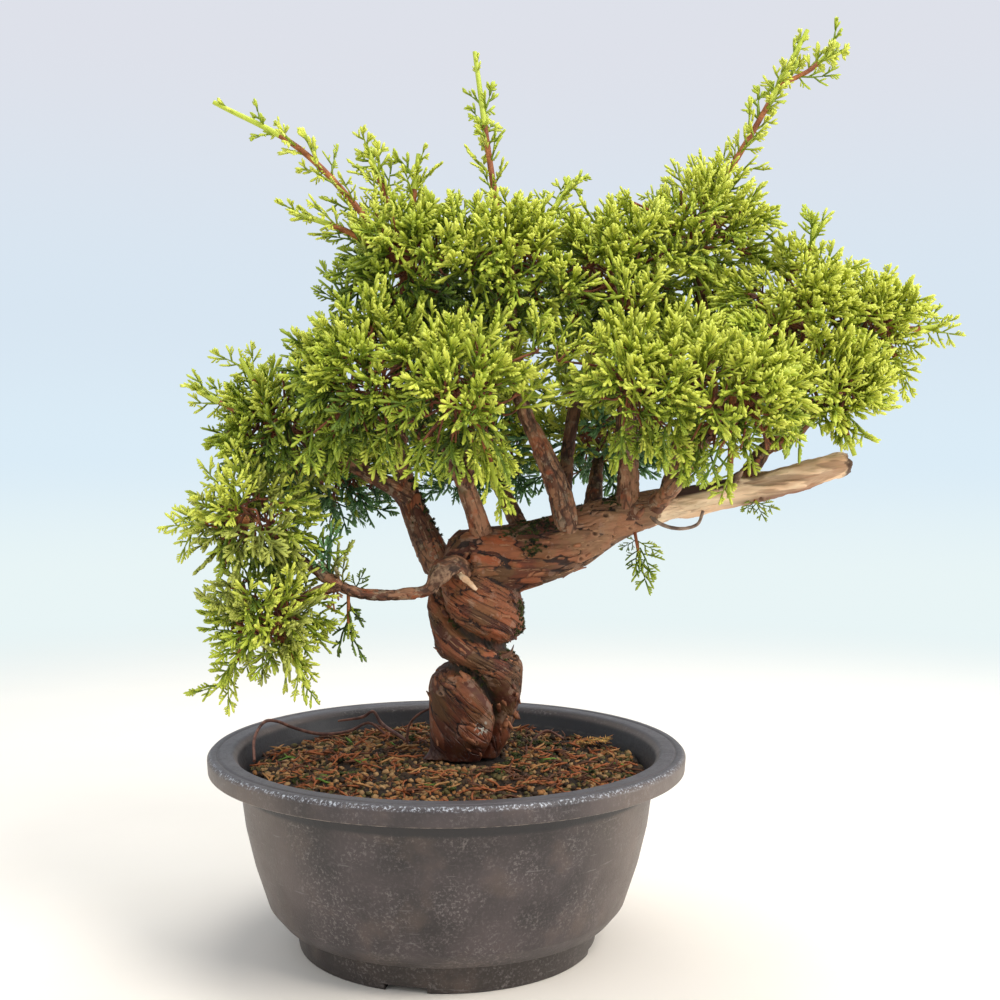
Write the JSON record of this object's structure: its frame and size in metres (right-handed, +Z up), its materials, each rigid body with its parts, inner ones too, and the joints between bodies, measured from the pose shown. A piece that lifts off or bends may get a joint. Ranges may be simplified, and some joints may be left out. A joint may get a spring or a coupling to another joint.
{
  "type": "itoigawa chinese juniper bonsai",
  "caption": "Juniper bonsai with a rope-twisted trunk, one long limb ending in bare deadwood, bushy foliage and tall shoots, in a round training pot.",
  "frame": {"origin": "centre of the pot's underside, on the ground", "axes": "+Z up; +X towards the bare deadwood end of the heavy limb; -Y towards the plant's front"},
  "size_m": [0.3402, 0.21, 0.4023],
  "materials": {
    "pot": "matte charcoal plastic, dusty",
    "soil": "damp clay and grit granules with dead needles",
    "bark": "red-brown peeling bark",
    "deadwood": "bare tan deadwood with fine grain",
    "foliage": "scale-leaved cord-like shoots, yellow-green"
  },
  "bodies": {
    "root": {"pot": "pot", "soil": "soil", "trunk": "bark", "right_limb": "bark", "deadwood_end": "deadwood", "left_stem": "bark", "low_left_branch": "bark", "low_left_twig": "bark", "left_outer_bough": "bark", "left_rear_bough": "bark", "left_front_bough": "bark", "centre_front_twig": "bark", "rear_top_left_bough": "bark", "centre_bough": "bark", "rear_left_bough": "bark", "rear_top_bough": "bark", "rear_centre_bough": "bark", "right_inner_bough": "bark", "right_inner_twig": "bark", "right_front_bough": "bark", "right_top_bough": "bark", "rear_right_bough": "bark", "right_tip_bough": "bark", "right_outer_twig": "bark", "right_lower_twig": "bark", "bare_snag": "deadwood", "curled_dead_twig": "deadwood", "foliage_low_left_upper": "foliage", "foliage_low_left_lower": "foliage", "foliage_left_outer": "foliage", "foliage_left_rear": "foliage", "foliage_left_front": "foliage", "foliage_left_top": "foliage", "foliage_rear_top_left": "foliage", "foliage_centre_front": "foliage", "foliage_centre_top": "foliage", "foliage_rear_centre_left": "foliage", "foliage_rear_centre_right": "foliage", "foliage_right_top_inner": "foliage", "foliage_right_front_inner": "foliage", "foliage_right_front": "foliage", "foliage_right_top": "foliage", "foliage_rear_right_top": "foliage", "foliage_rear_right": "foliage", "foliage_right_outer_top": "foliage", "foliage_right_tip": "foliage", "foliage_right_lower": "foliage", "foliage_low_branch_sprig": "foliage", "foliage_under_limb_sprig": "foliage", "foliage_under_deadwood_sprig": "foliage"}
  },
  "joints": []
}
